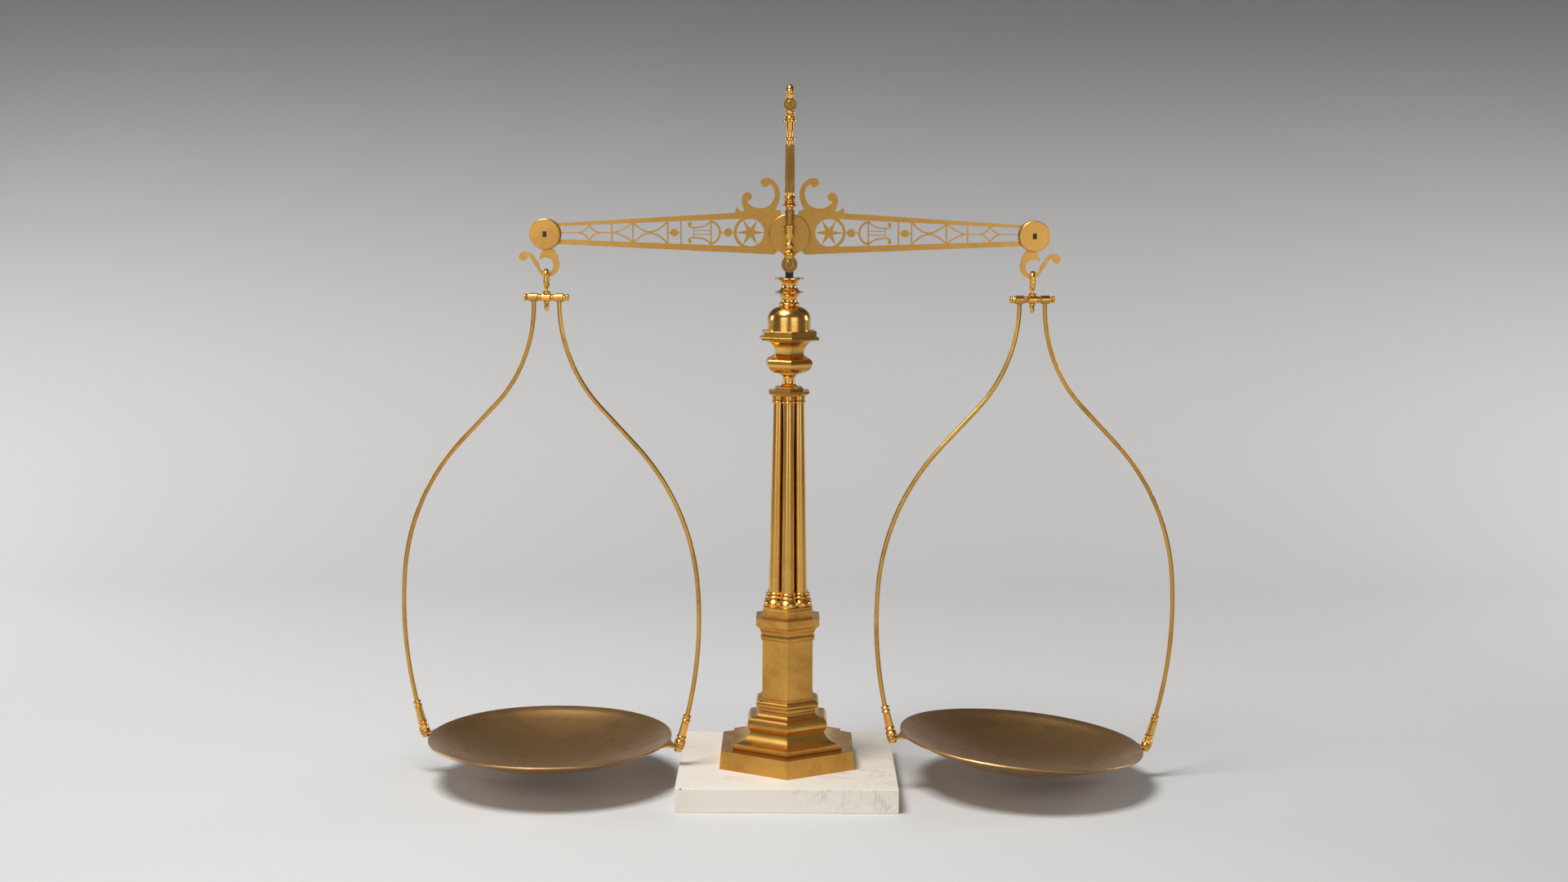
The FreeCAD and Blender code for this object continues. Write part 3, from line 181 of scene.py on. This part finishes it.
class Pattern(Board):
    """A Geometry Nodes tree with named sizes, run on one object and kept as a plain mesh."""

    def __init__(self, name, material, **sizes):
        self.tree = bpy.data.node_groups.new(name, "GeometryNodeTree")
        self.material = material
        face = self.tree.interface
        face.new_socket("Geometry", in_out="INPUT", socket_type="NodeSocketGeometry")
        face.new_socket("Geometry", in_out="OUTPUT", socket_type="NodeSocketGeometry")
        self.values = {}
        for size, value in sizes.items():
            kind = "NodeSocketInt" if isinstance(value, int) else "NodeSocketFloat"
            made = face.new_socket(size, in_out="INPUT", socket_type=kind)
            self.values[made.identifier] = value
        self.start = self.tree.nodes.new("NodeGroupInput")

    def size(self, name):
        return Field(self, self.start.outputs[name])

    def vector(self, x=0.0, y=0.0, z=0.0):
        return self.node("ShaderNodeCombineXYZ", {}, {"X": x, "Y": y, "Z": z})

    def join(self, *parts):
        joined = self.tree.nodes.new("GeometryNodeJoinGeometry")
        for part in parts:
            self.tree.links.new(part.socket, joined.inputs[0])
        return Field(self, joined.outputs[0])

    def make(self, piece, shape, replaced, body, slot):
        """End the tree in real faces with its material, and put the result in the frame."""
        real = self.node("GeometryNodeRealizeInstances", {}, {0: shape})
        dressed = self.node(
            "GeometryNodeSetMaterial", {}, {"Geometry": real, "Material": self.material})
        end = self.tree.nodes.new("NodeGroupOutput")
        self.tree.links.new(dressed.socket, end.inputs[0])
        worker = piece.modifiers.new("pattern", "NODES")
        worker.node_group = self.tree
        for identifier, value in self.values.items():
            worker[identifier] = value
        bpy.context.view_layer.update()
        shown = piece.evaluated_get(bpy.context.evaluated_depsgraph_get())
        mesh = bpy.data.meshes.new_from_object(shown)
        piece.modifiers.remove(worker)
        piece.data = mesh
        place_piece(piece, replaced, body)


def new_piece(name, build):
    """An object at the origin from a mesh that is filled in as a bmesh."""
    shape = bmesh.new()
    build(shape)
    mesh = bpy.data.meshes.new(name)
    shape.to_mesh(mesh)
    shape.free()
    piece = bpy.data.objects.new(name, mesh)
    bpy.context.scene.collection.objects.link(piece)
    return piece


def place_piece(piece, replaced, body):
    """Show the piece in place of the CAD node it stands for, on that node's body."""
    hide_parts(replaced)
    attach(piece, body)


slab_low, slab_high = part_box("marble_base")
slab_width = slab_high.x - slab_low.x
slab_height = slab_high.z
slab_arris = 0.0009
recess_radius = 0.017
recess_depth = 0.013
bore_radius = 0.00525
chip_places = 150
chipped_share = 0.36
smallest_chip = 0.0005
largest_chip = 0.0017
chip_length = 1.8
chip_outside = 0.0003
any_turn = (6.28, 6.28, 6.28)


def bevelled_slab(shape):
    """Square block on the floor with its twelve edges bevelled."""
    size = (slab_width, slab_width, slab_height)
    where = Matrix.Translation((0.0, 0.0, slab_height / 2)) @ Matrix.Diagonal((*size, 1.0))
    bmesh.ops.create_cube(shape, size=1.0, matrix=where)
    bmesh.ops.bevel(
        shape, geom=shape.edges[:], offset=slab_arris, segments=2, profile=0.5, affect="EDGES")


def knocked_edges(marble):
    """Chips scattered along the top and bottom arrises, and the nut's recess underneath."""
    edges = Pattern(
        "knocked_edges", marble.material, Width=slab_width, Height=slab_height,
        Places=chip_places, Share=chipped_share, Smallest=smallest_chip,
        Largest=largest_chip, Seed=11, Recess=recess_radius, Depth=recess_depth,
        Bore=bore_radius)
    seed = edges.size("Seed")
    width = edges.size("Width") + 2 * chip_outside
    loop = edges.node(
        "GeometryNodeCurvePrimitiveQuadrilateral", {}, {"Width": width, "Height": width})
    rings = []
    for z in (edges.size("Height") + chip_outside, -chip_outside):
        rings.append(edges.node(
            "GeometryNodeTransform", {}, {"Geometry": loop, "Translation": edges.vector(z=z)}))
    points = edges.node(
        "GeometryNodeCurveToPoints", {"mode": "COUNT"},
        {"Curve": edges.join(*rings), "Count": edges.size("Places")})
    kept = edges.node(
        "FunctionNodeRandomValue", {"data_type": "BOOLEAN"},
        {"Probability": edges.size("Share"), "Seed": seed}, output=3)
    stone_chip = edges.node("GeometryNodeMeshIcoSphere", {}, {"Radius": 1.0, "Subdivisions": 2})
    turn = edges.node(
        "FunctionNodeRandomValue", {"data_type": "FLOAT_VECTOR"},
        {0: (0.0, 0.0, 0.0), 1: any_turn, "Seed": seed + 1})
    girth = edges.node(
        "FunctionNodeRandomValue", {"data_type": "FLOAT"},
        {2: edges.size("Smallest"), 3: edges.size("Largest"), "Seed": seed + 2}, output=1)
    size = edges.vector(girth, girth * chip_length, girth)
    chips = edges.node(
        "GeometryNodeInstanceOnPoints", {},
        {"Points": points, "Selection": kept, "Instance": stone_chip, "Rotation": turn,
         "Scale": size})
    chips = edges.node("GeometryNodeRealizeInstances", {}, {0: chips})
    recess = edges.node(
        "GeometryNodeMeshCylinder", {},
        {"Vertices": 64, "Radius": edges.size("Recess"), "Depth": edges.size("Depth") * 2})
    bore = edges.node(
        "GeometryNodeMeshCylinder", {},
        {"Vertices": 48, "Radius": edges.size("Bore"), "Depth": edges.size("Height") * 3})
    whole = Field(edges, edges.start.outputs["Geometry"])
    for tool in (recess, bore, chips):
        whole = edges.node(
            "GeometryNodeMeshBoolean", {"operation": "DIFFERENCE"}, {0: whole, 1: tool})
    return edges, whole


marble = marble_finish()
slab = new_piece("marble_slab", bevelled_slab)
edges, chipped = knocked_edges(marble)
edges.make(slab, chipped, "marble_base", "stand", "marble")


# ---- Tie rod, nut and washer ---------------------------------------------------------------
# A square steel stem carries the beam's bearings; the rod below it runs down through every
# casting to a nut under the slab. Turned mild steel, left dark and slightly oily.


def steel_finish():
    """Dark drawn steel with oily patches and a trace of rust."""
    bare = (0.085, 0.080, 0.074)
    blackened = (0.030, 0.027, 0.025)
    rust = (0.11, 0.055, 0.030)
    steel = Finish("dark_steel", Metallic=0.95)
    oil = steel.cloud(steel.place, 160.0, 4.0)
    draw = steel.cloud(steel.stretched((900.0, 900.0, 40.0)), 1.0, 3.0)
    colour = steel.blend(steel.between(oil, 0.35, 0.65), bare, blackened)
    colour = steel.blend(steel.between(oil, 0.66, 0.78) * 0.6, colour, rust)
    steel.paint("Base Color", colour)
    steel.paint("Roughness", 0.34 + 0.22 * oil)
    steel.relief(draw, 0.2, 0.0001)
    return steel


steel = steel_finish()
steel.cover("neck_stem", "base_washer", "base_nut")


# ---- Hexagonal pedestal --------------------------------------------------------------------
# Cast brass plinth, stepped moulding, die, cap and block, filed and planed to six flats.
# Satin from old polish, with painted shade darkening the corners of the mouldings.


def brass_finish(
        name, light, dark, rough, lay, lay_strength, turn=0.0, tarnish=0.5, reach=0.005,
        centre=None, **constants):
    """Old polished brass, darkened in its corners with painted shade. The lay is the stretch of
    the tool's fine lines, or their count for each metre out from a centre, and reach is how far
    the painted shade spreads from a corner, in metres."""
    # Near-black brown used as painted shade in corners and recesses.
    shade_brown = (0.075, 0.036, 0.012)
    spot = (0.11, 0.055, 0.018)
    patches_per_metre = 26.0
    mottles_per_metre = 210.0
    pits_per_metre = 620.0
    tool_mark_depth = 0.00012
    brass = Finish(name, Metallic=1.0, **constants)
    patches = brass.cloud(brass.place, patches_per_metre, 6.0, 0.62, 0.4)
    mottle = brass.cloud(brass.place, mottles_per_metre, 4.0, 0.6)
    if centre is None:
        lines = brass.cloud(brass.stretched(lay, turn), 1.0, 3.0, 0.7)
    else:
        flat = brass.node("ShaderNodeMapping", {}, {
            "Vector": brass.place, "Location": (-centre[0], -centre[1], 0.0),
            "Scale": (1.0, 1.0, 0.0)})
        out = brass.node(
            "ShaderNodeVectorMath", {"operation": "LENGTH"}, {0: flat}, output="Value")
        lines = brass.node(
            "ShaderNodeTexNoise", {"noise_dimensions": "1D"},
            {"W": out * lay, "Scale": 1.0, "Detail": 3.0, "Roughness": 0.7})
    pits = brass.between(brass.cloud(brass.place, pits_per_metre, 2.0, 0.5), 0.69, 0.76)
    # Painted shade: an ambient occlusion mask darkens the colour towards a near-black brown in
    # corners and recesses, and the same mask raises the roughness there.
    corner = brass.node(
        "ShaderNodeAmbientOcclusion", {"samples": 8, "only_local": True}, {"Distance": reach},
        output="AO")
    painted_shade = brass.between(1.0 - corner, 0.25, 0.95)
    aged = brass.between(patches + 0.25 * mottle, 0.48, 0.86) * tarnish
    colour = brass.blend(aged, light, dark)
    colour = brass.blend(brass.between(lines, 0.55, 0.80) * 0.22, colour, dark)
    colour = brass.blend(pits * 0.55, colour, spot)
    colour = brass.blend(painted_shade * 0.75, colour, shade_brown)
    brass.paint("Base Color", colour)
    brass.paint("Roughness", rough + 0.14 * aged + 0.08 * mottle + 0.20 * painted_shade)
    brass.relief(lines + 0.35 * mottle - 0.5 * pits, lay_strength, tool_mark_depth)
    return brass


pedestal_brass = brass_finish(
    "pedestal_brass", (0.80, 0.44, 0.100), (0.52, 0.255, 0.055), 0.25,
    (60.0, 60.0, 1100.0), 0.35, tarnish=0.75, reach=0.010)
pedestal_brass.cover(
    "foot_plinth", "foot_moulding", "pedestal_die", "pedestal_cap", "column_block")


# ---- Clustered column ----------------------------------------------------------------------
# Six slim tapered shafts stand in turned bases and are held by one capital. Each shaft was
# turned between centres and polished, so its fine lines run round it.

polished_gold = (0.86, 0.49, 0.125)
polished_brown = (0.54, 0.27, 0.060)
turned_brass = brass_finish(
    "turned_brass", polished_gold, polished_brown, 0.17,
    (30.0, 30.0, 1500.0), 0.22, tarnish=0.55, reach=0.006)
turned_brass.cover("column_bases", "column_capital")

shaft_low, shaft_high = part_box("column_shafts")
spread_at_foot = 0.01507
spread_at_head = 0.0125
foot_radius = 0.00695
head_radius = 0.0052
shaft_swell = 0.00010
first_shaft = math.radians(30.0)


def nothing(shape):
    """The tree makes every face of this piece."""


def shaft_cluster():
    """One tapered shaft with a little swelling, leaned inwards and repeated round the rod."""
    cluster = Pattern(
        "shaft_cluster", turned_brass.material, Shafts=6, Foot=shaft_low.z, Head=shaft_high.z,
        Spread=spread_at_foot, Gather=spread_at_head, Thick=foot_radius, Thin=head_radius,
        Swell=shaft_swell)
    low = cluster.vector(x=cluster.size("Spread"), z=cluster.size("Foot"))
    high = cluster.vector(x=cluster.size("Gather"), z=cluster.size("Head"))
    line = cluster.node("GeometryNodeCurvePrimitiveLine", {}, {"Start": low, "End": high})
    line = cluster.node("GeometryNodeResampleCurve", {}, {"Curve": line, "Count": 24})
    up = cluster.node("GeometryNodeSplineParameter", output="Factor")
    thick = cluster.size("Thick")
    girth = thick + (cluster.size("Thin") - thick) * up
    girth = girth + up * (1.0 - up) * cluster.size("Swell") * 4.0
    line = cluster.node("GeometryNodeSetCurveRadius", {}, {"Curve": line, "Radius": girth})
    round_section = cluster.node(
        "GeometryNodeCurvePrimitiveCircle", {}, {"Resolution": 64, "Radius": 1.0})
    shaft = cluster.node("GeometryNodeCurveToMesh", {}, {
        "Curve": line, "Profile Curve": round_section, "Scale": girth, "Fill Caps": True})
    shaft = cluster.node("GeometryNodeSetShadeSmooth", {}, {"Geometry": shaft})
    count = cluster.size("Shafts")
    stations = cluster.node(
        "GeometryNodePoints", {}, {"Count": count, "Position": (0.0, 0.0, 0.0)})
    step = cluster.node("GeometryNodeInputIndex") * math.tau
    angle = cluster.node("ShaderNodeMath", {"operation": "DIVIDE"}, {0: step, 1: count})
    turned = cluster.vector(z=angle + first_shaft)
    return cluster, cluster.node("GeometryNodeInstanceOnPoints", {}, {
        "Points": stations, "Instance": shaft, "Rotation": turned})


cluster, shafts = shaft_cluster()
cluster.make(new_piece("shaft_cluster", nothing), shafts, "column_shafts", "stand", "turned_brass")


# ---- Vase, canopy, dome and spool ----------------------------------------------------------
# A faceted vase, a six-sided canopy plate, a spun dome and a turned spool, threaded on the
# tie rod. They have the brightest polish of the stand.

turned_brass.cover("vase", "canopy_plate", "dome", "spool")


# ---- Cheeks and their bolts ----------------------------------------------------------------
# Two flat-backed turned balusters stand in front of the beam and behind it, bolted through
# the stem and through a spacer at the top. Steel seats are let into them for the knife.

turned_brass.cover(
    "front_cheek", "rear_cheek", "cheek_finials", "lower_cross_bolt", "upper_cross_bolt",
    "cross_bolt_nuts", "upper_spacer")
steel.cover("cheek_bearings")


# ---- Beam ----------------------------------------------------------------------------------
# The beam is one brass plate, pierced with a saw and filed to its open pattern, with a
# thick boss on each face and the pointer riveted on. It is brushed along its length.

plate_brass = brass_finish(
    "plate_brass", (0.76, 0.42, 0.105), (0.50, 0.25, 0.060), 0.28,
    (45.0, 500.0, 1300.0), 0.30, tarnish=0.55, reach=0.003)
plate_brass.cover("beam_plate", "front_boss", "rear_boss", "pointer")
steel.cover("centre_knife")


# ---- End discs, knives, hooks and swivels --------------------------------------------------
# At each end two discs hold a steel knife, edge up, and a flat hook rides on it. A shackle
# hangs in the hook, and the crossbar of the bow turns on the shackle's stem.

for side in ("left", "right"):
    plate_brass.cover(side + "_end_discs", side + "_end_spacers", side + "_hook_plate")
    steel.cover(side + "_end_knife", side + "_hook_bearing")
    turned_brass.cover(side + "_shackle", side + "_swivel_finial")


# ---- Crossbars and bow legs ----------------------------------------------------------------
# The crossbar is turned on its own axis. The legs are hard-drawn brass wire, bent by hand,
# and end in turned ferrules with a round nut below the pan's lug.

bow_yaw = math.radians(11.0)
wire_brass = brass_finish(
    "wire_brass", (0.70, 0.40, 0.100), (0.42, 0.21, 0.048), 0.24,
    (260.0, 260.0, 260.0), 0.25, tarnish=0.8, reach=0.004)
for side, turn in (("left", bow_yaw), ("right", -bow_yaw)):
    bar_brass = brass_finish(
        side + "_bar_brass", polished_gold, polished_brown, 0.17,
        (1500.0, 30.0, 30.0), 0.22, turn=turn, tarnish=0.55, reach=0.004)
    bar_brass.cover(side + "_crossbar", side + "_bar_knobs")
    wire_brass.cover(side + "_outer_leg", side + "_inner_leg")
    turned_brass.cover(side + "_ferrules", side + "_foot_nuts")


# ---- Pans ----------------------------------------------------------------------------------
# Each pan is one sheet of thin brass, spun to a shallow part of a sphere, with a flat ear
# let in under the rim at each side. Handling has left the hollow dull and brown.

pan_radius = 0.1295
pan_depth = 0.032
pan_sheet = 0.0012
lip_start = 0.1215
lip_lift = 0.0009
rim_wander = 0.00022
rim_round = 0.0004
rim_band = (-0.0001, -0.0009)
rim_above_eyes = 0.0048
eyes_below_bar = 0.4734
crossbar_height = 0.518
hang_reach = 0.2534
right_lean = math.radians(4.4553)
lean_drift = -0.00375


def dish_height(radius):
    """Height over the rim's plane of the pan's outer face, flattened to a lip at the edge."""
    sphere = (pan_radius ** 2 + pan_depth ** 2) / (2.0 * pan_depth)
    height = sphere - pan_depth - math.sqrt(sphere ** 2 - radius ** 2)
    along_lip = max(0.0, (radius - lip_start) / (pan_radius - lip_start))
    blend = max(0.0, (radius - 0.9 * lip_start) / (0.1 * lip_start))
    ease = min(1.0, blend) ** 2
    return height + lip_lift * ease * (1.0 - along_lip ** 2)


def dish(place):
    """Sheet pan as one closed surface: up the hollow, over the rounded rim and down the back."""
    around = 192
    across = 40
    radii = [pan_radius * math.sin(math.pi / 2 * step / across) for step in range(1, across)]
    radii.append(pan_radius - rim_round)
    hollow = [(r, dish_height(r) + pan_sheet) for r in radii]
    rim = [(pan_radius, height) for height in rim_band]
    back = [(r, dish_height(r)) for r in reversed(radii)]
    hollow[-1] = (radii[-1], 0.0)

    profile = hollow + rim + back

    def build(shape):
        top = shape.verts.new((0.0, 0.0, dish_height(0.0) + pan_sheet))
        bottom = shape.verts.new((0.0, 0.0, dish_height(0.0)))
        rows = []
        for radius, height in profile:
            row = []
            for step in range(around):
                angle = math.tau * step / around
                share = (radius / pan_radius) ** 4
                wander = math.sin(3 * angle + 0.7) + 0.6 * math.sin(5 * angle + 2.1) - 1.6
                spot = (
                    radius * math.cos(angle), radius * math.sin(angle),
                    height + rim_wander * share * wander)
                row.append(shape.verts.new(spot))
            rows.append(row)
        for step in range(around):
            after = (step + 1) % around
            shape.faces.new((top, rows[0][step], rows[0][after]))
            for inner, outer in zip(rows, rows[1:]):
                shape.faces.new((inner[step], outer[step], outer[after], inner[after]))
            shape.faces.new((bottom, rows[-1][after], rows[-1][step]))
        for face in shape.faces:
            face.smooth = True
        shape.transform(place)

    return build


for side, out, lean, drift in (("left", -1, 0.0, 0.0), ("right", 1, right_lean, lean_drift)):
    place = (
        Matrix.Translation((out * hang_reach, 0.0, crossbar_height))
        @ Matrix.Rotation(out * bow_yaw, 4, "Z")
        @ Matrix.Translation((drift, 0.0, -eyes_below_bar))
        @ Matrix.Rotation(lean, 4, "Y")
        @ Matrix.Translation((0.0, 0.0, rim_above_eyes)))
    middle = place.translation
    pan_brass = brass_finish(
        side + "_pan_brass", (0.58, 0.335, 0.130), (0.36, 0.185, 0.062), 0.34,
        1100.0, 0.10, tarnish=0.9, reach=0.004, centre=(middle.x, middle.y),
        Coat_Weight=0.5, Coat_Roughness=0.35)
    pan = new_piece(side + "_dish", dish(place))
    pan.data.materials.append(pan_brass.material)
    place_piece(pan, side + "_pan", side + "_bow")
    plate_brass.cover(side + "_pan_lugs")


# ---- Studio --------------------------------------------------------------------------------
# A pale floor that curves up into a backdrop, whose colour is painted darker towards the top as
# painted shade. A soft key light hangs above on the left, two broad panels stand either side of
# the camera, and two lamps wash the backdrop.


def backdrop():
    """One sheet: flat floor, a wide bend, and an upright wall behind."""
    half_width = 4.0
    front = -3.4
    bend_start = 1.1
    bend_radius = 1.3
    wall_top = 4.5
    steps = 24
    route = [(front, 0.0), (bend_start, 0.0)]
    for step in range(1, steps + 1):
        angle = math.radians(90.0 * step / steps)
        along = bend_start + bend_radius * math.sin(angle)
        route.append((along, bend_radius * (1.0 - math.cos(angle))))
    route.append((bend_start + bend_radius, wall_top))
    sheet = bmesh.new()
    rows = [
        [sheet.verts.new((x, y, z)) for x in (-half_width, half_width)] for y, z in route]
    for near, far in zip(rows, rows[1:]):
        face = sheet.faces.new((near[0], near[1], far[1], far[0]))
        face.smooth = True
    mesh = bpy.data.meshes.new("backdrop")
    sheet.to_mesh(mesh)
    sheet.free()
    paper = Finish("backdrop_paper", Roughness=0.75, Specular_IOR_Level=0.2)
    pale = (0.70, 0.70, 0.70)
    grey = (0.15, 0.15, 0.152)
    # Painted shade: the paper's colour goes from pale at the floor to dark grey high on the wall,
    # standing for the light falling off.
    parts = paper.node("ShaderNodeSeparateXYZ", {}, {0: paper.place}, output="Z")
    painted_shade_upwards = paper.between(parts, 0.10, 1.25)
    paper.paint("Base Color", paper.blend(painted_shade_upwards, pale, grey))
    fibre = paper.cloud(paper.place, 300.0, 3.0)
    paper.relief(fibre, 0.05, 0.0002)
    mesh.materials.append(paper.material)
    return bpy.data.objects.new("backdrop", mesh)


lamp_white = (1.0, 0.99, 0.97)


def soft_light(name, place, aim, width, height, power):
    """Rectangular soft light, in metres and watts, pointed at its aim."""
    lamp = bpy.data.lights.new(name, "AREA")
    lamp.shape = "RECTANGLE"
    lamp.size = width
    lamp.size_y = height
    lamp.energy = power
    lamp.color = lamp_white
    made = bpy.data.objects.new(name, lamp)
    made.location = place
    made.rotation_euler = (Vector(aim) - Vector(place)).to_track_quat("-Z", "Y").to_euler()
    bpy.context.scene.collection.objects.link(made)


floor = backdrop()
bpy.context.scene.collection.objects.link(floor)

aim = (0.0, 0.0, 0.30)
soft_light("key_light", (-0.75, -0.62, 2.5), aim, 0.95, 0.95, 56.0)
soft_light("left_panel", (-1.25, -2.35, 0.95), (-0.2, 0.0, 0.35), 1.6, 1.6, 12.5)
soft_light("right_panel", (1.25, -2.35, 0.95), (0.2, 0.0, 0.35), 1.6, 1.6, 12.5)
soft_light("left_backdrop_light", (-2.1, 0.7, 0.9), (-0.2, 2.4, 0.1), 0.8, 0.8, 13.0)
soft_light("right_backdrop_light", (2.1, 0.7, 0.9), (0.2, 2.4, 0.1), 0.8, 0.8, 13.0)

world = bpy.data.worlds.new("studio_room")
world.use_nodes = True
room = world.node_tree.nodes["Background"].inputs
room["Color"].default_value = (0.12, 0.12, 0.125, 1.0)
room["Strength"].default_value = 0.8
bpy.context.scene.world = world

eye = Vector((0.00508, -2.16395, 0.62394))
pitch = 0.11755
pan_left = 0.00459
roll = 0.00453
lens = bpy.data.cameras.new("camera")
lens.sensor_width = 36.0
lens.lens = 47.55
camera = bpy.data.objects.new("camera", lens)
camera.matrix_world = (
    Matrix.Translation(eye)
    @ Matrix.Rotation(pan_left, 4, "Z")
    @ Matrix.Rotation(math.pi / 2 - pitch, 4, "X")
    @ Matrix.Rotation(roll, 4, "Z"))
bpy.context.scene.collection.objects.link(camera)
bpy.context.scene.camera = camera
bpy.context.scene.view_settings.view_transform = "Standard"
